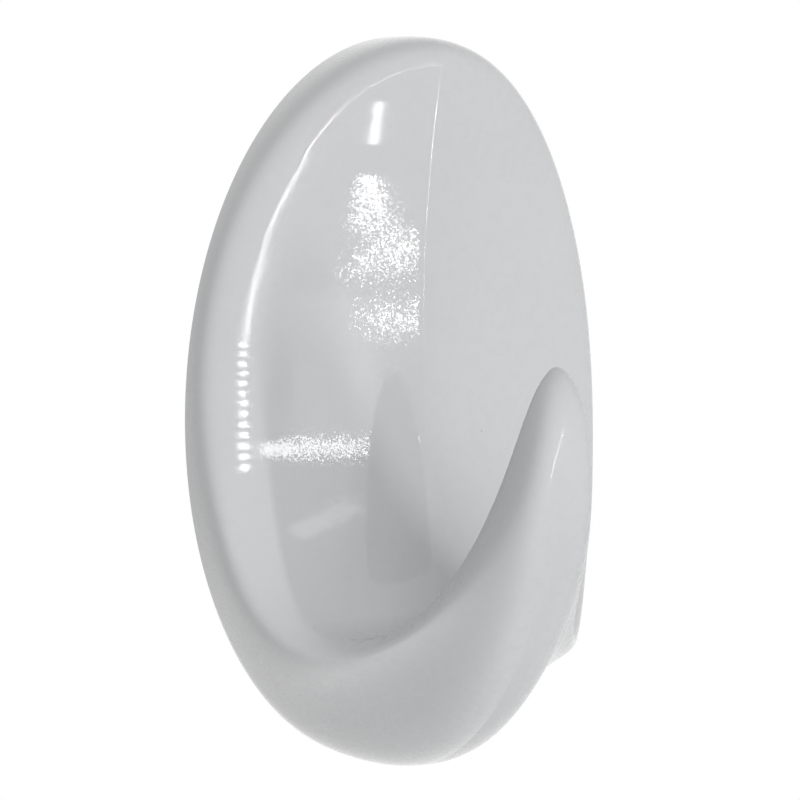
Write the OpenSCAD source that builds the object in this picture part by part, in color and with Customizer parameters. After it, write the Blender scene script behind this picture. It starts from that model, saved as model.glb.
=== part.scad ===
// Oval adhesive wall hook. A moulded cover with a nose slides down onto a base plate,
// and a stretch-release strip holds the plate to the wall.
// X runs across the hook and Z up the wall. The wall is the plane Y = 0, and the hook
// stands out from it towards -Y. A depth is a distance from the wall or from the cover's rim.

/* [Cover outline] */
// Width of the oval cover
cover_w = 43.5; // [42:0.5:48]
// Height of the oval cover
cover_h = 71.5; // [70:0.5:80]
// Gap between the wall and the cover's back rim
rim_gap = 0.6; // [0.4:0.1:0.8]
// Width of the rounded shoulder at the top of the face
shoulder_w = 3; // [2.2:0.1:3.6]
// Width of the rounded edge beside the pocket
lip_w = 1.6; // [1:0.1:2.2]

/* [Cover face] */
// Depth of the ridge at the top of the face, in front of the rim
face_top_d = 9.1; // [8:0.1:11]
// Depth that the ridge bends towards on its way down
face_bend_d = 3.8; // [3.4:0.1:5]
// Fall of each half of the face away from the ridge, in degrees
face_fall = 9.6; // [6:0.1:11]

/* [Pocket and nose] */
// Distance below the middle at which the face runs out into the pocket
pocket_drop = 12.6; // [11:0.1:15]
// Depth of the ridge where the pocket starts
pocket_d = 10.2; // [9.4:0.1:11.5]
// Slope of the ridge where the pocket starts, in degrees from upright
pocket_slope = 14.6; // [11:0.1:18]
// Reach of the pocket's round floor
floor_reach = 17.8; // [16:0.1:19.5]
// Height of the nose tip above the middle
nose_rise = 6.4; // [3:0.1:9]
// Depth of the nose tip in front of the rim
nose_d = 32.6; // [29:0.1:36]
// Lean of the nose at its tip, in degrees from upright
nose_lean = 2.5; // [0:0.5:8]
// Length of the nose's straight end
nose_end = 15.1; // [12:0.1:17]
// Half of the nose's width below its tip
nose_half_w = 3.8; // [3:0.1:4.6]
// Angle below level at which the underside leaves the nose tip
nose_dip = 12; // [6:0.5:20]
// Distance over which the underside leaves the nose tip
nose_brow = 7.8; // [6:0.1:10]
// Depth to which the underside runs level out from the rim
under_d = 31.9; // [28:0.1:34]

/* [Base plate] */
// Border of the plate above and below the adhesive
plate_border = 0.25; // [0.1:0.05:1]
// Distance of the plate's top above the middle of the cover
plate_top_z = 23; // [20:0.5:24]
// Width of the plate's stem, which the strip is stuck to
stem_w = 16.6; // [16.2:0.2:17.6]
// Thickness of the stem behind the flanges
stem_t = 1.3; // [1.2:0.1:1.4]
// Reach of each flange beyond the stem
flange_reach = 2; // [1.6:0.1:2.2]
// Thickness of the flanges
flange_t = 0.9; // [0.8:0.1:1]
// Length of each flange
flange_l = 8; // [7.4:0.1:8.4]
// Length of the cover's claws
claw_l = 7; // [5:0.1:7.2]
// How much longer the notch above each flange is than a claw
notch_ease = 2; // [1:0.1:2.4]
// Thickness of the cover's claws
claw_t = 0.8; // [0.6:0.1:0.9]

/* [Strip] */
// Width of the stretch-release strip
strip_w = 16; // [12:0.5:16]
// Length of the strip with its tab
strip_l = 45; // [42:0.5:46]
// Length of the tab without adhesive
tab_l = 11.5; // [9:0.5:12]
// Thickness of the strip's stretching core
core_t = 0.6; // [0.5:0.05:0.7]
// Thickness of each adhesive layer
glue_t = 0.15; // [0.1:0.01:0.18]
// Thickness of each film on the tab
film_t = 0.1; // [0.05:0.01:0.1]
// Radius of the tab's corners
tab_r = 3; // [1:0.5:5]

/* [Fits and walls] */
// Running gap between the cover and the plate
slide_gap = 0.3; // [0.25:0.05:0.4]
// Width of the cover's back rim
rim_w = 2.2; // [1.8:0.1:2.6]
// Width of the rails beside the plate
rail_w = 1.8; // [1.4:0.1:2.2]
// Depth of the shallow hollows beside the rails, from the rim
hollow_d = 1.6; // [1:0.1:1.8]
// Least wall left round the hollow under the pocket
boot_wall = 2; // [1.6:0.1:2.4]
// Height of the hollow's floor above the lowest point of the rim
boot_floor_h = 5.1; // [4.8:0.1:6]
// Depth of the hollow under the pocket, from the rim
boot_d = 14; // [8:0.5:14]

/* [Hidden] */
overrun = slide_gap;

// Rows of points along the face and along the pocket, and points across each row
face_rows = 24;
pocket_rows = 28;
face_steps = 5;
flank_steps = 14;
outline_steps = 72;

// Shares of the curves' handles: at the shoulder, and what the flanks below the pocket give up
shoulder_out_share = 0.88;
shoulder_back_share = 0.78;
flank_out_share = 0.37;
flank_back_share = 0.8;
// Powers that shape how the lip narrows into the nose and rounds at its tip
lip_power = 2.37;
tip_power = 7.6;
// Power that keeps the shoulder wide until close above the pocket
shoulder_power = 12;
full_turn = 360;
right_angle = 90;

half_w = cover_w / 2;
half_h = cover_h / 2;
strip_t = core_t + 2 * glue_t;
flange_d = strip_t + stem_t;
plate_d = flange_d + flange_t;
flange_half_w = stem_w / 2 + flange_reach;
plate_h = strip_l - tab_l + 2 * plate_border;
plate_bottom_z = plate_top_z - plate_h;
// Two flanges a side, each with a notch above it that lets a claw through
flange_pitch = flange_l + claw_l + notch_ease;
// Sliding the cover up this far brings its claws clear of the flanges
travel = (flange_l + claw_l) / 2 + 2 * slide_gap;
recess_half_w = flange_half_w + slide_gap;
recess_d = plate_d + slide_gap;
recess_bottom_z = plate_bottom_z - travel - slide_gap;
strip_top_z = plate_top_z - plate_border;
glue_bottom_z = strip_top_z - (strip_l - tab_l);
strip_bottom_z = strip_top_z - strip_l;
channel_half_w = strip_w / 2 + 2 * slide_gap;
channel_bottom_z = strip_bottom_z - travel - slide_gap;
channel_d = strip_t + 2 * slide_gap;
claw_d = flange_d - slide_gap;

// Curves in the plane of symmetry, as pairs of depth from the rim and height
ridge_top = [face_top_d, half_h - shoulder_w];
pocket_start = [pocket_d, -pocket_drop];
run_out = [sin(pocket_slope), -cos(pocket_slope)];
ridge_bend = pocket_start - run_out * (pocket_d - face_bend_d) / sin(pocket_slope);
nose_tip = [nose_d, nose_rise];
tip_run = [sin(nose_lean), cos(nose_lean)];
ridge_curve = [ridge_top, ridge_bend, pocket_start];
pocket_curve = [pocket_start, pocket_start + run_out * floor_reach, nose_tip - tip_run * nose_end, nose_tip];

// Turn of the outline where the pocket starts, from level
low_turn = asin(-pocket_drop / (half_h - lip_w));

function unit(v) = v / norm(v);
function mix(a, b, u) = a + (b - a) * u;
function blend(u) = u * u * (3 - 2 * u);
function bend(p, u) = mix(mix(p[0], p[1], u), mix(p[1], p[2], u), u);
function bend_run(p, u) = unit(mix(p[1] - p[0], p[2] - p[1], u));
function curve(p, u) = mix(bend([p[0], p[1], p[2]], u), bend([p[1], p[2], p[3]], u), u);
function curve_run(p, u) =
    let (legs = [p[1] - p[0], p[2] - p[1], p[3] - p[2]])
    unit(bend(legs, u));
function open_side(run) = [-run[1], run[0]];

// How far along the ridge curve a height lies
function ridge_along(z) =
    let (
        square = ridge_top[1] - 2 * ridge_bend[1] + pocket_start[1],
        slope = 2 * (ridge_bend[1] - ridge_top[1]),
        rest = ridge_top[1] - z
    )
    2 * rest / (sqrt(slope * slope - 4 * square * rest) - slope);

// A row holds its ridge point, open side, half width, fall, turn of the outline and share of the pocket
function face_row(u) =
    let (
        turn = mix(right_angle, low_turn, u),
        inset = mix(shoulder_w, lip_w, pow(blend(u), shoulder_power)),
        along = ridge_along((half_h - inset) * sin(turn))
    )
    [bend(ridge_curve, along), open_side(bend_run(ridge_curve, along)),
        (half_w - inset) * cos(turn), tan(face_fall), turn, 0];
function pocket_row(u) =
    let (
        lobe_w = (half_w - lip_w) * cos(low_turn) - nose_half_w,
        half = lobe_w * pow(1 - u, lip_power) + nose_half_w * sqrt(1 - pow(u, tip_power))
    )
    [curve(pocket_curve, u), open_side(curve_run(pocket_curve, u)),
        half, tan(face_fall) * (1 - u), mix(low_turn, -right_angle, u), u];
function on_face(row, x) =
    let (flat = row[0] - row[1] * row[3] * x)
    [-x, -rim_gap - flat[0], flat[1]];

// From the edge of the face, over the shoulder or the flank, to the rim
function flank(row) =
    let (
        edge = on_face(row, row[2]),
        rim = [-half_w * cos(row[4]), -rim_gap, half_h * sin(row[4])],
        outward = unit([-cos(row[4]) / half_w, row[3] * cos(row[4]) / half_w, sin(row[4]) / half_h]),
        forward = [0, -cos(nose_dip), -sin(nose_dip)],
        part = blend(row[5]),
        middle = 4 * part * (1 - part),
        edge_d = -edge[1] - rim_gap,
        gap = norm([rim[0] - edge[0], rim[2] - edge[2]]),
        out_l = mix(gap * shoulder_out_share, nose_brow, part) * (1 - middle * flank_out_share),
        back_l = mix(edge_d * shoulder_back_share, under_d, part) * (1 - middle * flank_back_share)
    )
    [edge, edge + unit(mix(outward, forward, part)) * out_l, rim - [0, back_l, 0], rim];
function flank_points(row) = [for (j = [1:flank_steps]) curve(flank(row), j / flank_steps)];
function face_points(row) = [for (j = [0:face_steps]) on_face(row, row[2] * j / face_steps)];
function turned(list) = [for (j = [len(list) - 1:-1:0]) list[j]];
function mirrored(list) = [for (p = list) [-p[0], p[1], p[2]]];

// One row from the left rim over the ridge to the right rim
function whole_row(row) =
    let (
        side = concat(face_points(row), flank_points(row)),
        right = [for (j = [1:len(side) - 1]) side[j]]
    )
    concat(turned(side), mirrored(right));
function end_row(row) = concat([on_face(row, 0)], flank_points(row));

// Height of the lip where it hangs lowest
lip_low_z = min([for (i = [0:pocket_rows])
    let (row = pocket_row(i / pocket_rows))
    on_face(row, row[2])[2]]);

row_width = 2 * (face_steps + flank_steps) + 1;
rows = concat(
    [for (i = [1:face_rows - 1]) whole_row(face_row(i / face_rows))],
    [for (i = [0:pocket_rows - 1]) whole_row(pocket_row(i / pocket_rows))]);
row_count = len(rows);
top_start = row_count * row_width;
tip_start = top_start + flank_steps + 1;
body_points = concat([for (r = rows) each r], end_row(face_row(0)), end_row(pocket_row(1)));

function at(i, c) = i * row_width + c;
function quad(a, b, c, d) = [[a, b, c], [a, c, d]];
// Faces that close a row onto an end row that lies in the plane of symmetry
function closing(i, start) = concat(
    [for (j = [0:flank_steps - 1]) each
        quad(at(i, j), at(i, j + 1), start + flank_steps - j - 1, start + flank_steps - j)],
    [for (j = [0:2 * face_steps - 1]) [at(i, flank_steps + j), at(i, flank_steps + j + 1), start]],
    [for (j = [0:flank_steps - 1])
        let (c = flank_steps + 2 * face_steps + j)
        each quad(at(i, c), at(i, c + 1), start + j + 1, start + j)],
    [[at(i, row_width - 1), at(i, 0), start + flank_steps]]);
function flipped(faces) = [for (f = faces) [f[2], f[1], f[0]]];
body_faces = concat(
    [for (i = [0:row_count - 2], c = [0:row_width - 2]) each
        quad(at(i, c), at(i, c + 1), at(i + 1, c + 1), at(i + 1, c))],
    [for (i = [0:row_count - 2]) each
        quad(at(i, row_width - 1), at(i, 0), at(i + 1, 0), at(i + 1, row_width - 1))],
    flipped(closing(0, top_start)),
    closing(row_count - 1, tip_start));

// A block given by its width about the middle, its depths from the wall and its heights
module block(wide, d, z) {
    translate([-wide / 2, -d[1], z[0]]) cube([wide, d[1] - d[0], z[1] - z[0]]);
}

module cover_body() {
    polyhedron(body_points, body_faces);
}

// Shallow hollow inside the rim, round the rails
module back_hollow() {
    rail_block_w = 2 * (recess_half_w + rail_w);
    difference() {
        translate([0, overrun, 0]) rotate([right_angle, 0, 0])
            linear_extrude(rim_gap + hollow_d + overrun)
                polygon([for (i = [0:outline_steps - 1])
                    let (turn = i * full_turn / outline_steps)
                    [(half_w - rim_w) * cos(turn), (half_h - rim_w) * sin(turn)]]);
        block(rail_block_w, [0, recess_d], [recess_bottom_z - rail_w, plate_top_z + rail_w]);
    }
}

// Recess for the plate, and the channel below it for the strip's tab
module plate_recess() {
    block(2 * recess_half_w, [-overrun, recess_d], [recess_bottom_z, plate_top_z]);
    block(2 * channel_half_w, [-overrun, channel_d], [channel_bottom_z, recess_bottom_z + overrun]);
}

// Tapered hollow under the pocket, open at the back
module boot_hollow() {
    mouth_w = 2 * channel_half_w;
    end_w = mouth_w / 2;
    roof_z = lip_low_z - boot_wall;
    mouth_floor_z = boot_floor_h - half_h;
    end_floor_z = (roof_z + mouth_floor_z) / 2;
    hull() {
        block(mouth_w, [-overrun, rim_gap], [mouth_floor_z, roof_z]);
        block(end_w, [boot_d, boot_d + rim_gap], [end_floor_z, roof_z]);
    }
}

// Two claws a side reach behind the plate's flanges
module claws() {
    claw_in = stem_w / 2 + slide_gap;
    claw_w = recess_half_w + rail_w / 2 - claw_in;
    for (side = [0, 1], i = [0, 1])
        mirror([side, 0, 0])
            translate([claw_in, -claw_d, flange_z(i) - claw_l / 2])
                cube([claw_w, claw_t, claw_l]);
}
function flange_z(i) = plate_bottom_z + flange_l / 2 + i * flange_pitch;

module hook_cover() {
    color("white") {
        difference() {
            cover_body();
            back_hollow();
            plate_recess();
            boot_hollow();
        }
        claws();
    }
}

module base_plate() {
    color("gainsboro") {
        block(stem_w, [strip_t, plate_d], [plate_bottom_z, plate_top_z]);
        for (i = [0, 1])
            block(2 * flange_half_w, [flange_d, plate_d],
                [flange_z(i) - flange_l / 2, flange_z(i) + flange_l / 2]);
    }
}

// Outline of the strip from its rounded tab up to a height
module tab_outline(top_z) {
    tab_mid_w = strip_w - 2 * tab_r;
    translate([-strip_w / 2, strip_bottom_z + tab_r])
        square([strip_w, top_z - strip_bottom_z - tab_r]);
    translate([-tab_mid_w / 2, strip_bottom_z]) square([tab_mid_w, 2 * tab_r]);
    for (side = [-1, 1])
        translate([side * tab_mid_w / 2, strip_bottom_z + tab_r]) circle(tab_r, $fn = 64);
}

module tab_layer(back_d, thick, top_z) {
    translate([0, -back_d, 0]) rotate([right_angle, 0, 0]) linear_extrude(thick) tab_outline(top_z);
}

module strip_core() {
    color("white") tab_layer(glue_t, core_t, strip_top_z);
}

module wall_adhesive() {
    color("ivory") block(strip_w, [0, glue_t], [glue_bottom_z, strip_top_z]);
}

module plate_adhesive() {
    color("ivory") block(strip_w, [glue_t + core_t, strip_t], [glue_bottom_z, strip_top_z]);
}

module tab_film_back() {
    color("lightgray") tab_layer(glue_t - film_t, film_t, glue_bottom_z);
}

module tab_film_front() {
    color("lightgray") tab_layer(glue_t + core_t, film_t, glue_bottom_z);
}

hook_cover();
base_plate();
strip_core();
wall_adhesive();
plate_adhesive();
tab_film_back();
tab_film_front();
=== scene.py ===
# %% [markdown]
# # An oval adhesive wall hook
# The object is a small white hook for a wall or a tile. A glossy moulded cover carries the hook's
# nose. It slides down onto a plate, and a stretch-release strip sticks the plate to the wall. This
# lesson dresses the CAD model: the wall is the plane Y = 0, the hook stands out towards -Y, and Z
# runs up the wall.

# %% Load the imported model
import math

import bpy
import numpy as np
from mathutils import Matrix, Vector


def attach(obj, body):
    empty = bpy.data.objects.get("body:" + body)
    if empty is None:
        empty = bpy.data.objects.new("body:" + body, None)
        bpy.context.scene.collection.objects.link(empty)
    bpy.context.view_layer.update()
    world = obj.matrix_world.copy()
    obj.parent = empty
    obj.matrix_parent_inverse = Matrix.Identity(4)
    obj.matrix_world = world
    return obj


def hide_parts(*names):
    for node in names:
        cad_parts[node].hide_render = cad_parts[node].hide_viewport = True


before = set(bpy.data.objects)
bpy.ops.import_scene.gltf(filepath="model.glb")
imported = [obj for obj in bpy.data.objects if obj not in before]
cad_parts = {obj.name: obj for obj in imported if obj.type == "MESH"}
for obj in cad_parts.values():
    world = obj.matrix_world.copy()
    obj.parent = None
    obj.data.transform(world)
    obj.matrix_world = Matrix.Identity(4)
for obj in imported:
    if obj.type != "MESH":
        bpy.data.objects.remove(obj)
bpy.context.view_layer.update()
MM = 0.001


def in_mm(box):
    return [[round(c / MM, 2) for c in corner] for corner in box]


# %% [markdown]
# ## The camera
# The photograph looks at the hook from its left, a little above its middle. The distance and lens
# were found by fitting the oval, the ridge, the lip and the nose, so the camera is simply set to
# those figures. It is turned a little to bring the hook to its place in the frame, which keeps the
# lens free of shift.

# %% Place the camera
IMAGE_PX = 800
FOCAL_PX = 2450.09
SENSOR_MM = 36.0
aim_point = Vector((0, -9.07, 0)) * MM
aim_pixel = (428.62, 410.60)
camera_distance = 235 * MM
turn, rise, tilt = (math.radians(a) for a in (-27.0, 5.945, 1.845))

level = math.cos(rise)
back = Vector((math.sin(turn) * level, -math.cos(turn) * level, math.sin(rise)))
level_right = Vector((math.cos(turn), math.sin(turn), 0))
level_up = back.cross(level_right)
right = level_right * math.cos(tilt) + level_up * math.sin(tilt)
up = level_up * math.cos(tilt) - level_right * math.sin(tilt)
off_x, off_y = (IMAGE_PX / 2 - pixel for pixel in aim_pixel)
look = -back + right * off_x / FOCAL_PX - up * off_y / FOCAL_PX
look.normalize()
side = (right - look * right.dot(look)).normalized()

camera_data = bpy.data.cameras.new("hook_camera")
camera_data.sensor_width = SENSOR_MM
camera_data.lens = FOCAL_PX / IMAGE_PX * SENSOR_MM
camera_data.clip_start = 0.01
camera = bpy.data.objects.new("hook_camera", camera_data)
bpy.context.scene.collection.objects.link(camera)
pose = Matrix((side, side.cross(look), -look)).transposed().to_4x4()
pose.translation = aim_point + back * camera_distance
camera.matrix_world = pose
bpy.context.scene.camera = camera
print("lens", round(camera_data.lens, 2), "mm, camera at", [round(c, 4) for c in pose.translation])

# %% [markdown]
# ## Working by hand in code
# Blender's operators act on whatever is selected, and the loaded nodes are all selected at first.
# These short helpers leave just one piece selected, and report what a piece has become.

# %% Helpers for operators
def pick_only(piece):
    bpy.ops.object.select_all(action="DESELECT")
    piece.select_set(True)
    bpy.context.view_layer.objects.active = piece


def tell(piece):
    points = [v.co for v in piece.data.vertices]
    box = [[end(p[i] for p in points) for i in range(3)] for end in (min, max)]
    print(piece.name, len(piece.data.polygons), "faces, box in mm:", in_mm(box))


# %% [markdown]
# ## Sizes of the cover
# These are the CAD model's own sizes, in millimetres. The cover's front is a family of sections:
# each one runs from the left rim over the shoulder, across the face, and down to the right rim. The
# upper sections follow the oval, and the lower ones swing forward into the pocket and gather into
# the nose.

# %% Sizes of the cover
HALF_W, HALF_H, RIM_GAP = 43.5 / 2, 71.5 / 2, 0.6
SHOULDER_W, LIP_W, FALL = 3.0, 1.6, math.tan(math.radians(9.6))
FACE_TOP_D, FACE_BEND_D = 9.1, 3.8
POCKET_DROP, POCKET_D, POCKET_SLOPE, FLOOR_REACH = 12.6, 10.2, math.radians(14.6), 17.8
NOSE_RISE, NOSE_D, NOSE_LEAN, NOSE_END = 6.4, 32.6, math.radians(2.5), 15.1
NOSE_HALF_W, NOSE_DIP, NOSE_BROW, UNDER_D = 3.8, math.radians(12), 7.8, 31.9
LIP_POWER, TIP_POWER, SHOULDER_POWER = 2.37, 7.6, 12
SHOULDER_OUT, SHOULDER_BACK, FLANK_OUT, FLANK_BACK = 0.88, 0.78, 0.37, 0.8

low_turn = math.asin(-POCKET_DROP / (HALF_H - LIP_W))
print("the face runs out into the pocket at", round(math.degrees(low_turn), 1),
      "degrees round the oval")

# %% [markdown]
# ## The curves down the middle
# Seen from the side, the cover's front is two curves: one down the ridge of the face, and one round
# the pocket and up to the nose's tip. Blender's curve objects could draw both. Plain formulas keep
# them equal to the CAD model's, and also give the direction that the surface opens to.

# %% Control points of the two curves
ridge_top = np.array([FACE_TOP_D, HALF_H - SHOULDER_W])
pocket_start = np.array([POCKET_D, -POCKET_DROP])
run_out = np.array([math.sin(POCKET_SLOPE), -math.cos(POCKET_SLOPE)])
ridge_bend = pocket_start - run_out * (POCKET_D - FACE_BEND_D) / math.sin(POCKET_SLOPE)
nose_tip = np.array([NOSE_D, NOSE_RISE])
tip_run = np.array([math.sin(NOSE_LEAN), math.cos(NOSE_LEAN)])
ridge_curve = [ridge_top, ridge_bend, pocket_start]
pocket_curve = [pocket_start, pocket_start + run_out * FLOOR_REACH,
                nose_tip - tip_run * NOSE_END, nose_tip]
for name, curve in (("ridge", ridge_curve), ("pocket", pocket_curve)):
    print(name, "curve, depth and height in mm:", [[round(c, 2) for c in p.tolist()] for p in curve])


# %% Points and directions on a curve
def mix(a, b, u):
    return a + (b - a) * u


def blend(u):
    return u * u * (3 - 2 * u)


def unit(v):
    return v / np.linalg.norm(v)


def bezier(points, u):
    while len(points) > 1:
        points = [mix(a, b, u) for a, b in zip(points, points[1:])]
    return points[0]


def open_side(points, u):
    run = unit(bezier([b - a for a, b in zip(points, points[1:])], u))
    return np.array([-run[1], run[0]])


print("lowest point of the pocket's floor in mm:",
      round(min(bezier(pocket_curve, u)[1] for u in np.linspace(0, 1, 101)), 2))


# %% Rows of the face and of the pocket
def ridge_along(z):
    square = ridge_top[1] - 2 * ridge_bend[1] + pocket_start[1]
    slope = 2 * (ridge_bend[1] - ridge_top[1])
    rest = ridge_top[1] - z
    return 2 * rest / (math.sqrt(slope * slope - 4 * square * rest) - slope)


def face_row(u):
    turn = mix(math.pi / 2, low_turn, u)
    inset = mix(SHOULDER_W, LIP_W, blend(u) ** SHOULDER_POWER)
    along = ridge_along((HALF_H - inset) * math.sin(turn))
    half = max((HALF_W - inset) * math.cos(turn), 0.0)
    return bezier(ridge_curve, along), open_side(ridge_curve, along), half, FALL, turn, 0.0


def pocket_row(u):
    lobe = (HALF_W - LIP_W) * math.cos(low_turn) - NOSE_HALF_W
    nose = NOSE_HALF_W * math.sqrt(max(1 - u ** TIP_POWER, 0.0))
    half = lobe * (1 - u) ** LIP_POWER + nose
    turn = mix(low_turn, -math.pi / 2, u)
    return bezier(pocket_curve, u), open_side(pocket_curve, u), half, FALL * (1 - u), turn, u


print("half width in mm where the pocket starts:", round(pocket_row(0.0)[2], 2),
      "and half way round it:", round(pocket_row(0.5)[2], 2))

# %% [markdown]
# ## One section of the cover
# The face is straight across with a slight fall to each side of its ridge. From the edge of the face
# a cubic curve rolls over the shoulder, or swings down the flank of the nose, and lands square on
# the rim. A bevel could round the edges afterwards, but the angle between face and flank changes all
# the way round. A mould never leaves such an edge knife-sharp, so the whole section is averaged over
# a few tenths of a millimetre, which rounds the ridge, the shoulder and the lip alike.

# %% Draw half a section
FACE_SAMPLES, FLANK_SAMPLES = 60, 240


def flank(row):
    ridge, opened, half, fall, turn, share = row
    flat = ridge - opened * fall * half
    edge = np.array([-half, -RIM_GAP - flat[0], flat[1]])
    rim = np.array([-HALF_W * math.cos(turn), -RIM_GAP, HALF_H * math.sin(turn)])
    sideways = math.cos(turn) / HALF_W
    outward = unit(np.array([-sideways, fall * math.cos(turn) / HALF_W, math.sin(turn) / HALF_H]))
    forward = np.array([0, -math.cos(NOSE_DIP), -math.sin(NOSE_DIP)])
    part = blend(share)
    swing = 4 * part * (1 - part)
    gap = math.hypot(rim[0] - edge[0], rim[2] - edge[2])
    deep = -edge[1] - RIM_GAP
    out_l = mix(gap * SHOULDER_OUT, NOSE_BROW, part) * (1 - FLANK_OUT * swing)
    back_l = mix(deep * SHOULDER_BACK, UNDER_D, part) * (1 - FLANK_BACK * swing)
    start = edge + unit(mix(outward, forward, part)) * out_l
    return [edge, start, rim - np.array([0, back_l, 0]), rim]


def half_section(row):
    ridge, opened, half, fall = row[:4]
    face = []
    for x in np.linspace(0, half, FACE_SAMPLES):
        depth, height = ridge - opened * fall * x
        face.append([-x, -RIM_GAP - depth, height])
    down = [bezier(flank(row), t) for t in np.linspace(0, 1, FLANK_SAMPLES)[1:]]
    line = np.array(face + down)
    lengths = np.concatenate([[0], np.cumsum(np.linalg.norm(np.diff(line, axis=0), axis=1))])
    return line, lengths, lengths[FACE_SAMPLES - 1]


print("half a section in the middle of the face is",
      round(half_section(face_row(0.5))[1][-1], 2), "mm long")

# %% Soften a section and place its points
SPACING, WINDOW = 0.05, 3
EDGE_ROUND, RIDGE_ROUND, RIDGE_REACH, RIDGE_SHARE = 0.34, 0.16, 2.0, 0.8
TIP_FADE, LEAST_FADE = 1.2, 0.06
FACE_COLUMNS, FLANK_COLUMNS = 34, 40


def soften(line, reach):
    n = int(round(WINDOW * reach / SPACING))
    weights = np.exp(-0.5 * (np.arange(-n, n + 1) * SPACING / reach) ** 2)
    weights /= weights.sum()
    before = 2 * line[0] - line[n:0:-1]
    after = 2 * line[-1] - line[-2:-n - 2:-1]
    padded = np.concatenate([before, line, after])
    return np.stack([np.convolve(padded[:, i], weights, mode="valid") for i in range(3)], axis=1)


def ease(count):
    return (1 - np.cos(np.pi * np.arange(count + 1) / count)) / 2


def start_fine(count):
    return 1 - np.cos(np.pi / 2 * np.arange(count + 1) / count)


def at(places, lengths, line):
    return np.stack([np.interp(places, lengths, line[:, i]) for i in range(3)], axis=1)


def both_sides(left):
    return np.concatenate([left[::-1], left[1:] * [-1, 1, 1]])


def section(row):
    line, lengths, face_l = half_section(row)
    half, share, total = row[2], row[5], lengths[-1]
    on_face, on_flank = (int(round(part / SPACING)) for part in (face_l, total - face_l))
    even = np.concatenate([np.linspace(0, face_l, on_face + 1),
                           np.linspace(face_l, total, on_flank + 1)[1:]])
    whole = both_sides(at(even, lengths, line))
    ridge_reach = min(RIDGE_REACH, max(RIDGE_SHARE * face_l, SPACING))
    away = np.concatenate([even[::-1], even[1:]]) / ridge_reach
    reach = EDGE_ROUND * (min(max(half / TIP_FADE, LEAST_FADE), 1) if share > 0.5 else 1)
    whole = mix(soften(whole, min(RIDGE_ROUND, reach)), soften(whole, reach),
                np.minimum(away, 1)[:, None])
    left = whole[len(even) - 1::-1]
    places = np.concatenate([face_l * ease(FACE_COLUMNS),
                             mix(face_l, total, start_fine(FLANK_COLUMNS))[1:]])
    return both_sides(at(places, even, left))


print("a section has", len(section(face_row(0.5))), "points")

# %% [markdown]
# ## The cover's skin
# A subdivided cube or a sculpted blob could come near this shape, but the nose, the pocket and the
# oval have to flow into each other without a dent, because the gloss shows each one. So a grid with
# a row for each section is added, and its points are moved onto the sections. The first and the last
# row fold onto the middle plane, and merging their points closes the skin at the top and at the
# nose's tip.

# %% Lay a grid over the sections
FACE_ROWS, POCKET_ROWS = 110, 270
rows = [section(face_row(i / FACE_ROWS)) for i in range(FACE_ROWS)]
rows += [section(pocket_row(1 - (1 - i / POCKET_ROWS) ** 2)) for i in range(POCKET_ROWS + 1)]
skin_points = np.array(rows) * MM
row_count, column_count = skin_points.shape[:2]

bpy.ops.object.select_all(action="DESELECT")
bpy.ops.mesh.primitive_grid_add(x_subdivisions=column_count - 1, y_subdivisions=row_count - 1,
                                size=1)
cover = bpy.context.object
cover.name = cover.data.name = "cover_shell"
cover.data.vertices.foreach_set("co", skin_points.reshape(-1).astype(np.float32))
cover.data.update()
tell(cover)

# %% Close the top, the tip and the back
MERGE = 0.0002

pick_only(cover)
bpy.ops.object.mode_set(mode="EDIT")
bpy.ops.mesh.select_all(action="SELECT")
bpy.ops.mesh.remove_doubles(threshold=MERGE * MM)
bpy.ops.mesh.select_mode(type="EDGE")
bpy.ops.mesh.select_all(action="DESELECT")
bpy.ops.mesh.select_non_manifold(extend=False, use_wire=False, use_multi_face=False,
                                 use_verts=False)
bpy.ops.mesh.edge_face_add()
bpy.ops.mesh.select_all(action="SELECT")
bpy.ops.mesh.normals_make_consistent(inside=False)
bpy.ops.mesh.select_mode(type="VERT")
bpy.ops.object.mode_set(mode="OBJECT")
tell(cover)
print("largest face has", max(len(p.vertices) for p in cover.data.polygons), "corners")

# %% [markdown]
# ## The edge round the back
# The cover's wall meets its flat back rim in a square corner, and a moulding breaks such an edge a
# little. A bevel modifier with an angle limit would also catch other edges, so the loop round the
# rim is picked by its place and bevelled alone.

# %% Round the rim's edge
NEAR, RIM_BEVEL = 0.001, 0.18


def select_edges(piece, wanted):
    pick_only(piece)
    bpy.ops.object.mode_set(mode="EDIT")
    bpy.ops.mesh.select_mode(type="EDGE")
    bpy.ops.mesh.select_all(action="DESELECT")
    bpy.ops.object.mode_set(mode="OBJECT")
    points = piece.data.vertices
    for edge in piece.data.edges:
        edge.select = wanted(*(points[i].co / MM for i in edge.vertices))
    bpy.ops.object.mode_set(mode="EDIT")


def bevel_edges(piece, wanted, radius, steps=2):
    select_edges(piece, wanted)
    bpy.ops.mesh.bevel(offset=radius * MM, segments=steps, affect="EDGES", clamp_overlap=True)
    bpy.ops.mesh.select_mode(type="VERT")
    bpy.ops.object.mode_set(mode="OBJECT")


def on_rim(a, b):
    return max(abs(a.y + RIM_GAP), abs(b.y + RIM_GAP)) < NEAR


bevel_edges(cover, on_rim, RIM_BEVEL)
tell(cover)

# %% [markdown]
# ## The back of the cover
# Behind, the cover is cored out so that its walls stay even, beginning with a shallow oval hollow
# inside the rim. Rails are left standing round the place of the plate. The hollow could be inset in
# the back face by hand, but a plug that is cut away with a Boolean shows plainly what is taken out.

# %% Helpers for cutting
GAP = 0.3


def apply_modifier(piece, kind, **settings):
    pick_only(piece)
    modifier = piece.modifiers.new(kind.title(), kind)
    for name, value in settings.items():
        setattr(modifier, name, value)
    bpy.ops.object.modifier_apply(modifier=modifier.name)


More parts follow.
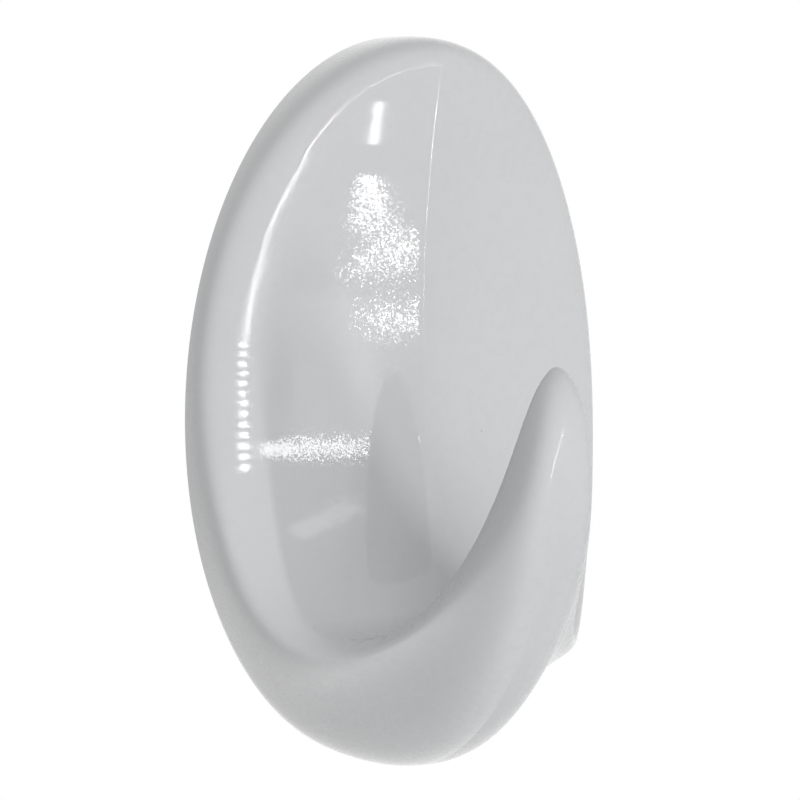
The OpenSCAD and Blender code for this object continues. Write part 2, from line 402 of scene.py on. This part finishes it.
def cut(piece, cutter, operation="DIFFERENCE"):
    apply_modifier(piece, "BOOLEAN", operation=operation, solver="EXACT", object=cutter)
    bpy.data.objects.remove(cutter)


def block(name, wide, depths, heights):
    bpy.ops.object.select_all(action="DESELECT")
    centre = Vector((0, -sum(depths) / 2, sum(heights) / 2)) * MM
    bpy.ops.mesh.primitive_cube_add(size=1, location=centre)
    piece = bpy.context.object
    piece.name = piece.data.name = name
    piece.scale = Vector((wide, depths[1] - depths[0], heights[1] - heights[0])) * MM
    bpy.ops.object.transform_apply(location=True, rotation=True, scale=True)
    return piece


# %% Core out the shallow hollow and leave the rails
RIM_W, HOLLOW_D, HOLLOW_BEVEL, HOLLOW_SIDES = 2.2, 1.6, 0.5, 180
RECESS_HALF_W, RECESS_D, RECESS_BOTTOM, PLATE_TOP = 10.6, 3.4, -19.4, 23.0
RAIL_W = 1.8

bpy.ops.object.select_all(action="DESELECT")
bpy.ops.mesh.primitive_cylinder_add(vertices=HOLLOW_SIDES, radius=1, depth=1,
                                    rotation=(math.pi / 2, 0, 0))
hollow = bpy.context.object
bpy.ops.object.transform_apply(location=False, rotation=True, scale=False)
hollow.scale = Vector((HALF_W - RIM_W, RIM_GAP + HOLLOW_D + GAP, HALF_H - RIM_W)) * MM
hollow.location = (0, (GAP - RIM_GAP - HOLLOW_D) / 2 * MM, 0)
bpy.ops.object.transform_apply(location=True, rotation=True, scale=True)
hollow_floor = -RIM_GAP - HOLLOW_D + NEAR
bevel_edges(hollow, lambda a, b: max(a.y, b.y) < hollow_floor, HOLLOW_BEVEL, 3)
rails = block("rails", 2 * (RECESS_HALF_W + RAIL_W), (-1, RECESS_D),
              (RECESS_BOTTOM - RAIL_W, PLATE_TOP + RAIL_W))
cut(hollow, rails)
cut(cover, hollow)
tell(cover)

# %% [markdown]
# ## The recess and the channel
# The plate sits in a straight recess between the rails, and the strip's tab hangs in a shallow
# channel below it. Both could be inset and pushed in by hand. Blocks with softened edges are cut
# away instead, because their sizes can then be read straight from the plate and the strip.

# %% Cut the recess and the channel
CHANNEL_HALF_W, CHANNEL_D, CHANNEL_BOTTOM = 8.6, 1.5, -30.65
RECESS_BEVEL, CHANNEL_ROUND = 0.15, 1.0


def runs_deep(a, b):
    return abs(a.y - b.y) > 1


recess = block("recess", 2 * RECESS_HALF_W, (-GAP, RECESS_D), (RECESS_BOTTOM, PLATE_TOP))
bevel_edges(recess, lambda a, b: max(a.y, b.y) < -RECESS_D + NEAR or runs_deep(a, b), RECESS_BEVEL)
cut(cover, recess)
channel = block("channel", 2 * CHANNEL_HALF_W, (-GAP, CHANNEL_D),
                (CHANNEL_BOTTOM, RECESS_BOTTOM + GAP))
bevel_edges(channel, lambda a, b: runs_deep(a, b) and a.z < RECESS_BOTTOM - 1, CHANNEL_ROUND, 4)
cut(cover, channel)
tell(cover)

# %% [markdown]
# ## The hollow under the pocket
# A thick lump of plastic sinks in as it cools, so the root of the nose is hollow too. A plain block
# would do, but a mould's core has to slip out again. So the plug is a low block whose front face is
# pulled out and shrunk, which gives the hollow its taper.

# %% Cut the tapered hollow under the pocket
BOOT_ROOF, BOOT_D, BOOT_BEVEL, BOOT_END_SHARE = -22.45, 14.0, 0.25, 0.5

boot = block("boot", 2 * CHANNEL_HALF_W, (-GAP, RIM_GAP), (CHANNEL_BOTTOM, BOOT_ROOF))
end_floor = (BOOT_ROOF + CHANNEL_BOTTOM) / 2
end_height = (BOOT_ROOF - end_floor) / (BOOT_ROOF - CHANNEL_BOTTOM)
pick_only(boot)
bpy.ops.object.mode_set(mode="EDIT")
bpy.ops.mesh.select_mode(type="FACE")
bpy.ops.mesh.select_all(action="DESELECT")
bpy.ops.object.mode_set(mode="OBJECT")
for face in boot.data.polygons:
    face.select = face.normal.y < -0.9
bpy.ops.object.mode_set(mode="EDIT")
pull = (0, -(BOOT_D - RIM_GAP) * MM, 0)
bpy.ops.mesh.extrude_region_move(TRANSFORM_OT_translate={"value": pull})
bpy.ops.transform.resize(value=(BOOT_END_SHARE, 1, end_height),
                         center_override=Vector((0, -BOOT_D, BOOT_ROOF)) * MM)
bpy.ops.mesh.extrude_region_move(TRANSFORM_OT_translate={"value": (0, -RIM_GAP * MM, 0)})
bpy.ops.object.mode_set(mode="OBJECT")
bevel_edges(boot, lambda a, b: min(a.y, b.y) < -1, BOOT_BEVEL, 3)
cut(cover, boot)
tell(cover)

# %% [markdown]
# ## The claws
# Two claws on each side of the recess catch behind the plate's flanges and hold the cover to the
# wall. They could be pulled out of the recess's walls, but their places follow from the flanges, so
# four small blocks with broken edges are joined on with a Boolean.

# %% Add the claws
STEM_W, PLATE_BOTTOM, FLANGE_L, FLANGE_PITCH = 16.6, -11.0, 8.0, 17.0
FLANGE_LOW = (PLATE_BOTTOM, PLATE_BOTTOM + FLANGE_PITCH)
CLAW_D, CLAW_T, CLAW_L, CLAW_BEVEL = 1.9, 0.8, 7.0, 0.15

claw_inner, claw_outer = STEM_W / 2 + GAP, RECESS_HALF_W + RAIL_W / 2
for flange_low in FLANGE_LOW:
    claw_mid = flange_low + FLANGE_L / 2
    for hand in (-1, 1):
        claw = block("claw", claw_outer - claw_inner, (CLAW_D - CLAW_T, CLAW_D),
                     (claw_mid - CLAW_L / 2, claw_mid + CLAW_L / 2))
        claw.location.x = hand * (claw_inner + claw_outer) / 2 * MM
        pick_only(claw)
        bpy.ops.object.transform_apply(location=True, rotation=True, scale=True)
        bevel_edges(claw, lambda a, b: max(abs(a.x), abs(b.x)) < RECESS_HALF_W - 1, CLAW_BEVEL)
        cut(cover, claw, "UNION")
tell(cover)

# %% [markdown]
# ## Shading the cover
# A moulding is smooth where its surface flows and crisp where a wall meets a floor. Faces could be
# marked smooth or flat by hand, but shading by angle sorts them all at once. The limit is high, so
# that the thin, rounded lip of the nose stays smooth.

# %% Shade the cover
COVER_SMOOTH_DEG = 58

pick_only(cover)
bpy.ops.object.shade_smooth_by_angle(angle=math.radians(COVER_SMOOTH_DEG))
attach(cover, "cover")
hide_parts("hook_cover")
print(cover.name, "is smooth up to", COVER_SMOOTH_DEG, "degrees")

# %% [markdown]
# ## The plate
# The plate stays on the wall. Its stem is as wide as the strip, and two flanges on each side catch
# the cover's claws. Joined blocks could make it too. Here it starts as one block, which is cut
# across where the flanges begin and end, and the marked faces are then pulled out sideways, as one
# would with a push-pull tool. That leaves no inner faces. Last, all edges are broken.

# %% Block out the plate
STRIP_T, PLATE_D, FLANGE_D = 0.9, 3.1, 2.2

plate = block("mount_plate", STEM_W, (STRIP_T, PLATE_D), (PLATE_BOTTOM, PLATE_TOP))
pick_only(plate)
bpy.ops.object.mode_set(mode="EDIT")
cuts = [((0, -FLANGE_D, 0), (0, 1, 0))]
cuts += [((0, 0, z), (0, 0, 1)) for low in FLANGE_LOW for z in (low, low + FLANGE_L)
         if z > PLATE_BOTTOM]
for place, normal in cuts:
    bpy.ops.mesh.select_all(action="SELECT")
    bpy.ops.mesh.bisect(plane_co=Vector(place) * MM, plane_no=normal)
bpy.ops.mesh.select_mode(type="FACE")
bpy.ops.object.mode_set(mode="OBJECT")
tell(plate)

# %% Pull out the flanges and break the edges
FLANGE_HALF_W, PLATE_BEVEL, PLATE_BEVEL_DEG, FLAT_SMOOTH_DEG = 10.3, 0.14, 40, 35

bpy.ops.object.mode_set(mode="EDIT")
for hand in (-1, 1):
    bpy.ops.mesh.select_all(action="DESELECT")
    bpy.ops.object.mode_set(mode="OBJECT")
    for face in plate.data.polygons:
        middle_mm = face.center / MM
        on_flange = any(low < middle_mm.z < low + FLANGE_L for low in FLANGE_LOW)
        face.select = face.normal.x * hand > 0.9 and middle_mm.y < -FLANGE_D and on_flange
    bpy.ops.object.mode_set(mode="EDIT")
    pull = (hand * (FLANGE_HALF_W - STEM_W / 2) * MM, 0, 0)
    bpy.ops.mesh.extrude_region_move(TRANSFORM_OT_translate={"value": pull})
bpy.ops.object.mode_set(mode="OBJECT")
apply_modifier(plate, "BEVEL", width=PLATE_BEVEL * MM, segments=2, limit_method="ANGLE",
               angle_limit=math.radians(PLATE_BEVEL_DEG))
bpy.ops.object.shade_smooth_by_angle(angle=math.radians(FLAT_SMOOTH_DEG))
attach(plate, "base")
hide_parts("base_plate")
tell(plate)

# %% [markdown]
# ## The stretch-release strip
# The strip is a sandwich: a stretching foam core with a rounded tab, a sticky layer on each face,
# and a thin film on each side of the tab so that fingers don't stick to it. Rounded blocks could
# stand for them. Every layer here is a flat plane whose corners are rounded first and which is then
# pulled to its thickness, so that the outline stays clean.

# %% A helper for a layer
LAYER_BEVEL_DEG, CORNER_STEPS = 60, 12


def layer(name, wide, depths, heights, low_round, top_round, edge_round):
    bpy.ops.object.select_all(action="DESELECT")
    bpy.ops.mesh.primitive_plane_add(size=1, rotation=(math.pi / 2, 0, 0))
    piece = bpy.context.object
    piece.name = piece.data.name = name
    bpy.ops.object.transform_apply(location=False, rotation=True, scale=False)
    middle_z = sum(heights) / 2 * MM
    piece.scale = (wide * MM, 1, (heights[1] - heights[0]) * MM)
    piece.location = (0, -depths[0] * MM, middle_z)
    bpy.ops.object.transform_apply(location=True, rotation=True, scale=True)
    for radius, low in ((low_round, True), (top_round, False)):
        bpy.ops.object.mode_set(mode="EDIT")
        bpy.ops.mesh.select_mode(type="VERT")
        bpy.ops.mesh.select_all(action="DESELECT")
        bpy.ops.object.mode_set(mode="OBJECT")
        for point in piece.data.vertices:
            point.select = (point.co.z < middle_z) == low
        bpy.ops.object.mode_set(mode="EDIT")
        bpy.ops.mesh.bevel(offset=radius * MM, segments=CORNER_STEPS, affect="VERTICES")
        bpy.ops.object.mode_set(mode="OBJECT")
    bpy.ops.object.mode_set(mode="EDIT")
    bpy.ops.mesh.select_all(action="SELECT")
    pull = (0, -(depths[1] - depths[0]) * MM, 0)
    bpy.ops.mesh.extrude_region_move(TRANSFORM_OT_translate={"value": pull})
    bpy.ops.mesh.select_all(action="SELECT")
    bpy.ops.mesh.normals_make_consistent(inside=False)
    bpy.ops.object.mode_set(mode="OBJECT")
    apply_modifier(piece, "BEVEL", width=edge_round * MM, segments=2, limit_method="ANGLE",
                   angle_limit=math.radians(LAYER_BEVEL_DEG))
    bpy.ops.object.shade_smooth_by_angle(angle=math.radians(FLAT_SMOOTH_DEG))
    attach(piece, "base")
    tell(piece)
    return piece


# %% Model the layers of the strip
STRIP_W, CORE_T, GLUE_T, FILM_T, TAB_R = 16.0, 0.6, 0.15, 0.1, 3.0
STRIP_TOP, GLUE_BOTTOM, STRIP_BOTTOM, GLUE_INSET = 22.75, -10.75, -22.25, 0.1
CORNER, FILM_CORNER = 0.4, 0.1
CORE_EDGE, GLUE_EDGE, FILM_EDGE = 0.08, 0.04, 0.03

core_front = GLUE_T + CORE_T
glue_w, glue_heights = STRIP_W - 2 * GLUE_INSET, (GLUE_BOTTOM, STRIP_TOP - GLUE_INSET)
tab_heights = (STRIP_BOTTOM, GLUE_BOTTOM)
core = layer("strip_foam", STRIP_W, (GLUE_T, core_front), (STRIP_BOTTOM, STRIP_TOP),
             TAB_R, CORNER, CORE_EDGE)
wall_glue = layer("glue_to_wall", glue_w, (0, GLUE_T), glue_heights, CORNER, CORNER, GLUE_EDGE)
plate_glue = layer("glue_to_plate", glue_w, (core_front, STRIP_T), glue_heights,
                   CORNER, CORNER, GLUE_EDGE)
rear_film = layer("tab_film_wall_side", STRIP_W, (GLUE_T - FILM_T, GLUE_T), tab_heights,
                  TAB_R, FILM_CORNER, FILM_EDGE)
front_film = layer("tab_film_room_side", STRIP_W, (core_front, core_front + FILM_T), tab_heights,
                   TAB_R, FILM_CORNER, FILM_EDGE)
for piece, node, slot in ((core, "strip_core", "strip_foam"),
                          (wall_glue, "wall_adhesive", "adhesive"),
                          (plate_glue, "plate_adhesive", "adhesive"),
                          (rear_film, "tab_film_back", "tab_film"),
                          (front_film, "tab_film_front", "tab_film")):
    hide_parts(node)

# %% [markdown]
# ## Finishes
# Painted or photographed textures could cover the pieces. All finishes here are built from
# procedural textures on Object coordinates instead, so their grain has a real size in metres and
# sits still on the piece. This helper starts a material and gives short ways to add its nodes.

# %% A small kit for finishes
class Finish:
    def __init__(self, name):
        self.material = bpy.data.materials.new(name)
        self.material.use_nodes = True
        self.tree = self.material.node_tree
        self.shader = self.tree.nodes["Principled BSDF"]
        self.place = self.add("ShaderNodeTexCoord").outputs["Object"]

    def add(self, kind, **settings):
        node = self.tree.nodes.new(kind)
        for name, value in settings.items():
            setattr(node, name, value)
        return node

    def link(self, output, socket):
        self.tree.links.new(output, socket)

    def noise(self, size_mm, detail=2.0):
        node = self.add("ShaderNodeTexNoise")
        self.link(self.place, node.inputs["Vector"])
        node.inputs["Scale"].default_value = 1 / (size_mm * MM)
        node.inputs["Detail"].default_value = detail
        return node.outputs["Fac"]

    def cells(self, size_mm):
        node = self.add("ShaderNodeTexVoronoi")
        self.link(self.place, node.inputs["Vector"])
        node.inputs["Scale"].default_value = 1 / (size_mm * MM)
        return node

    def remap(self, value, from_low, from_high, to_low, to_high, kind="LINEAR"):
        node = self.add("ShaderNodeMapRange", interpolation_type=kind)
        self.link(value, node.inputs["Value"])
        for name, number in (("From Min", from_low), ("From Max", from_high),
                             ("To Min", to_low), ("To Max", to_high)):
            node.inputs[name].default_value = number
        return node.outputs["Result"]

    def maths(self, operation, a, b):
        node = self.add("ShaderNodeMath", operation=operation)
        for value, socket in zip((a, b), node.inputs):
            if isinstance(value, (int, float)):
                socket.default_value = value
            else:
                self.link(value, socket)
        return node.outputs["Value"]

    def colours(self, share, dark, light):
        node = self.add("ShaderNodeMix", data_type="RGBA")
        self.link(share, node.inputs["Factor"])
        for socket, colour in ((node.inputs["A"], dark), (node.inputs["B"], light)):
            if isinstance(colour, tuple):
                socket.default_value = (*colour, 1)
            else:
                self.link(colour, socket)
        return node.outputs["Result"]

    def bump(self, height, depth_mm, under=None):
        node = self.add("ShaderNodeBump")
        self.link(height, node.inputs["Height"])
        node.inputs["Distance"].default_value = depth_mm * MM
        if under is not None:
            self.link(under, node.inputs["Normal"])
        return node.outputs["Normal"]

    def set(self, **sockets):
        for name, value in sockets.items():
            socket = self.shader.inputs[name.replace("_", " ").title().replace("Ior", "IOR")]
            if isinstance(value, bpy.types.NodeSocket):
                self.link(value, socket)
            else:
                socket.default_value = (*value, 1) if isinstance(value, tuple) else value

    def dress(self, *pieces):
        for piece in pieces:
            piece.data.materials.clear()
            piece.data.materials.append(self.material)
        print(self.material.name, "on", ", ".join(piece.name for piece in pieces))


# %% [markdown]
# ## Glossy white plastic
# The cover is moulded in a white plastic that shines like glaze. Its skin is smooth enough to mirror
# a lamp as a line. Where hands have rubbed the face, tiny facets lean a little to each side and
# break the highlights into sparkle, and the nose, which takes the wear, has lost most of its shine.
# A long, shallow ripple from the moulding bends the reflections a little, and a few specks of dust
# cling to it. One gloss all over would be simpler, but it would look like new glass.

# %% Where the gloss is worn
def near_to(finish, point_mm, inner_mm, outer_mm):
    node = finish.add("ShaderNodeVectorMath", operation="DISTANCE")
    finish.link(finish.place, node.inputs[0])
    node.inputs[1].default_value = Vector(point_mm) * MM
    return finish.remap(node.outputs["Value"], inner_mm * MM, outer_mm * MM, 1, 0)


def depth_from_wall(finish, low_mm, high_mm):
    node = finish.add("ShaderNodeSeparateXYZ")
    finish.link(finish.place, node.inputs["Vector"])
    return finish.remap(node.outputs["Y"], -low_mm * MM, -high_mm * MM, 0, 1, "SMOOTHSTEP")


def flakes(finish, size_mm, tilt, share, under):
    node = finish.add("ShaderNodeVectorMath", operation="SUBTRACT")
    finish.link(finish.cells(size_mm).outputs["Color"], node.inputs[0])
    node.inputs[1].default_value = (0.5, 0.5, 0.5)
    lean = finish.add("ShaderNodeVectorMath", operation="SCALE")
    finish.link(node.outputs["Vector"], lean.inputs[0])
    finish.link(finish.maths("MULTIPLY", share, tilt), lean.inputs["Scale"])
    total = finish.add("ShaderNodeVectorMath", operation="ADD")
    finish.link(lean.outputs["Vector"], total.inputs[0])
    finish.link(under, total.inputs[1])
    evened = finish.add("ShaderNodeVectorMath", operation="NORMALIZE")
    finish.link(total.outputs["Vector"], evened.inputs[0])
    return evened.outputs["Vector"]


# %% The cover's gloss
WHITE_LOW, WHITE_HIGH, DUST = (0.584, 0.592, 0.602), (0.612, 0.618, 0.626), (0.33, 0.31, 0.28)
DUST_PITCH_MM, DUST_SIZE, DUST_LEAVES_OUT = 7.5, 0.016, 0.8
FLAKE_MM, FLAKE_TILT, LEAST_WEAR = 0.15, 0.022, 0.045
SHINY, SCUFFED_SHINE = 0.85, 0.12

gloss = Finish("gloss_white_plastic")
clouds = gloss.remap(gloss.noise(18, 3), 0.3, 0.7, 0, 1)
white = gloss.colours(clouds, WHITE_LOW, WHITE_HIGH)
dust = gloss.cells(DUST_PITCH_MM)
near = gloss.maths("LESS_THAN", dust.outputs["Distance"], DUST_SIZE)
chosen = gloss.add("ShaderNodeSeparateColor")
gloss.link(dust.outputs["Color"], chosen.inputs["Color"])
few = gloss.maths("GREATER_THAN", chosen.outputs["Red"], DUST_LEAVES_OUT)
specks = gloss.maths("MULTIPLY", near, few)
ripple = gloss.bump(gloss.noise(5.5, 1), 0.004)
handled = gloss.maths("MAXIMUM", near_to(gloss, (-3.5, -7.0, 10.0), 3, 14), LEAST_WEAR)
rubbed = gloss.maths("MULTIPLY", near_to(gloss, (-8.5, -7.0, -4.0), 3, 9), 0.5)
worn = gloss.maths("MAXIMUM", handled, rubbed)
grain = flakes(gloss, FLAKE_MM, FLAKE_TILT, worn, ripple)
scuffed = depth_from_wall(gloss, 14, 30)
gloss.set(base_color=gloss.colours(specks, white, DUST),
          roughness=gloss.remap(gloss.noise(1.2, 3), 0.3, 0.7, 0.24, 0.32),
          specular_ior_level=0.1, normal=grain, coat_normal=grain, ior=1.49,
          coat_weight=gloss.remap(scuffed, 0, 1, SHINY, SCUFFED_SHINE),
          coat_roughness=gloss.remap(worn, 0.1, 1, 0.03, 0.055))
gloss.dress(cover)

# %% [markdown]
# ## Finishes of the hidden pieces
# The plate is a matt moulding, the core is a closed-cell foam, the sticky layers are a clear
# yellowish gum with small bubbles, and the tab's films are satin and finely ribbed across. Plain
# colours would do for pieces this well hidden, but the cover slides off and shows them.

# %% Plate and foam
matt = Finish("matt_white_plastic")
matt.set(base_color=matt.colours(matt.noise(6, 3), (0.60, 0.61, 0.62), (0.68, 0.69, 0.70)),
         roughness=matt.remap(matt.noise(0.8, 3), 0.3, 0.7, 0.48, 0.62),
         normal=matt.bump(matt.noise(0.15, 3), 0.004))
matt.dress(plate)

foam = Finish("white_foam")
pores = foam.cells(0.35).outputs["Distance"]
foam.set(base_color=foam.colours(pores, (0.80, 0.80, 0.77), (0.66, 0.66, 0.63)),
         roughness=0.8, normal=foam.bump(pores, 0.05))
foam.dress(core)

# %% Gum and film
RIB_PITCH_MM, WAVE_PER_UNIT = 0.9, 20

gum = Finish("yellowish_gum")
bubbles = gum.remap(gum.cells(0.9).outputs["Distance"], 0.0, 0.35, 1, 0)
gum.set(base_color=gum.colours(bubbles, (0.70, 0.66, 0.52), (0.78, 0.76, 0.66)),
        roughness=gum.remap(gum.noise(1.5, 3), 0.3, 0.7, 0.2, 0.42),
        normal=gum.bump(bubbles, 0.012, gum.bump(gum.noise(3, 2), 0.02)))
gum.dress(wall_glue, plate_glue)

film = Finish("satin_film")
ribs = film.add("ShaderNodeTexWave", wave_type="BANDS", bands_direction="Z", wave_profile="SIN")
film.link(film.place, ribs.inputs["Vector"])
ribs.inputs["Scale"].default_value = math.tau / (WAVE_PER_UNIT * RIB_PITCH_MM * MM)
film.set(base_color=film.colours(film.noise(4, 3), (0.58, 0.60, 0.62), (0.66, 0.68, 0.70)),
         roughness=film.remap(film.noise(0.6, 2), 0.3, 0.7, 0.35, 0.5),
         normal=film.bump(ribs.outputs["Fac"], 0.02))
film.dress(rear_film, front_film)

# %% [markdown]
# ## Floor and background
# The photograph shows the hook alone on pure white. A pale floor lies well below it, and both the
# floor and the world answer camera and mirror rays with plain white, so the background is white
# without any light being added. A brighter world would also do, but it would wash out the hook's
# own shades. To all other rays the room is a soft grey.

# %% Floor and world
FLOOR_SIZE, FLOOR_Z, FLOOR_WHITE, ROOM_LIGHT = 6, -0.3, (0.75, 0.75, 0.75), 0.43

bpy.ops.object.select_all(action="DESELECT")
bpy.ops.mesh.primitive_plane_add(size=FLOOR_SIZE, location=(0, 0, FLOOR_Z))
floor = bpy.context.object
floor.name = floor.data.name = "floor"


def white_to_camera(tree, lit_shader, plain_kind, output_socket):
    path = tree.nodes.new("ShaderNodeLightPath")
    seen = path.outputs["Is Camera Ray"]
    for kind in ("Is Glossy Ray", "Is Transmission Ray"):
        either = tree.nodes.new("ShaderNodeMath")
        either.operation = "MAXIMUM"
        tree.links.new(seen, either.inputs[0])
        tree.links.new(path.outputs[kind], either.inputs[1])
        seen = either.outputs["Value"]
    plain = tree.nodes.new(plain_kind)
    plain.inputs["Color"].default_value = (1, 1, 1, 1)
    plain.inputs["Strength"].default_value = 1
    choice = tree.nodes.new("ShaderNodeMixShader")
    tree.links.new(seen, choice.inputs["Fac"])
    tree.links.new(lit_shader.outputs[0], choice.inputs[1])
    tree.links.new(plain.outputs[0], choice.inputs[2])
    tree.links.new(choice.outputs["Shader"], output_socket)


pale = Finish("pale_floor")
pale.set(base_color=FLOOR_WHITE, roughness=0.9)
white_to_camera(pale.tree, pale.shader, "ShaderNodeEmission",
                pale.tree.nodes["Material Output"].inputs["Surface"])
pale.dress(floor)

world = bpy.data.worlds.new("soft_room")
bpy.context.scene.world = world
world.use_nodes = True
room = world.node_tree.nodes["Background"]
room.inputs["Color"].default_value = (1, 1, 1, 1)
room.inputs["Strength"].default_value = ROOM_LIGHT
white_to_camera(world.node_tree, room, "ShaderNodeBackground",
                world.node_tree.nodes["World Output"].inputs["Surface"])

# %% [markdown]
# ## Lamps
# Three large soft lamps stand in front, below and behind, and give the gloss nothing to mirror. What
# it mirrors are small lamps. Each one is placed where the mirror direction leads from one of the
# photograph's highlights, such as the beaded line along the shoulder, the streak and the bar. White
# patches in the material could imitate these, but they wouldn't move as the hook turns.

# %% A helper for a lamp
LAMP_AIM = Vector((0, -0.005, 0))


def lamp(name, place, size, watts, turn_deg=0.0):
    data = bpy.data.lights.new(name, "AREA")
    data.shape = "RECTANGLE"
    data.size, data.size_y = size
    data.energy = watts
    thing = bpy.data.objects.new(name, data)
    bpy.context.scene.collection.objects.link(thing)
    facing = (LAMP_AIM - Vector(place)).to_track_quat("-Z", "Y").to_matrix().to_4x4()
    spin = Matrix.Rotation(math.radians(turn_deg), 4, "Z")
    thing.matrix_world = Matrix.Translation(place) @ facing @ spin
    thing.visible_camera = False
    return thing


# %% Hang the lamps: name, place and size in metres, watts, turn in degrees
BEADS, BEAD_SIZE, BEAD_WATTS = 13, (0.0022, 0.0045), 0.0015
SOFT_LAMPS = (("soft_front", (-0.27, -0.92, 0.55), (0.7, 0.5), 3.6),
              ("fill_low", (0.1, -0.4, -0.27), (0.3, 0.15), 0.27),
              ("soft_rear", (0.2, 0.9, 0.35), (0.7, 0.5), 3.0))
MIRRORED_LAMPS = (("edge_middle", (0.035, -0.800, -0.014), (0.0012, 0.143), 0.018, 4.8),
                  ("edge_high", (0.048, -0.788, -0.127), (0.0012, 0.086), 0.012, 9.5),
                  ("edge_top", (0.048, -0.766, -0.215), (0.0014, 0.095), 0.07, 0),
                  ("streak", (0.086, -0.762, -0.221), (0.0035, 0.06), 0.014, 5),
                  ("cloud_high", (0.084, -0.791, -0.112), (0.006, 0.075), 0.04, 0),
                  ("cloud_middle", (0.092, -0.799, -0.047), (0.008, 0.055), 0.045, 14),
                  ("cloud_low", (0.098, -0.801, 0.031), (0.010, 0.03), 0.03, 0),
                  ("haze", (0.070, -0.797, 0.083), (0.042, 0.165), 0.035, 0),
                  ("bar", (0.0595, -0.786, 0.162), (0.047, 0.012), 0.024, 0),
                  ("bar_corner", (0.106, -0.783, 0.165), (0.006, 0.02), 0.008, 0),
                  ("pocket_glow", (0.0625, -0.771, 0.22), (0.034, 0.012), 0.003, -40),
                  ("ridge_glow", (0.29, -0.72, -0.12), (0.02, 0.3), 1.2, 0))

for settings in SOFT_LAMPS:
    lamp(*settings).visible_glossy = False
for i in range(BEADS):
    lamp(f"bead_{i}", (0.029, -0.802 + 0.0015 * i, 0.060 + 0.0098 * i), BEAD_SIZE, BEAD_WATTS)
for settings in MIRRORED_LAMPS:
    lamp(*settings)

# %% [markdown]
# ## The view transform
# The render shows colours as they are written, through the Standard view transform.

# %% Set the view transform
bpy.context.scene.view_settings.view_transform = "Standard"
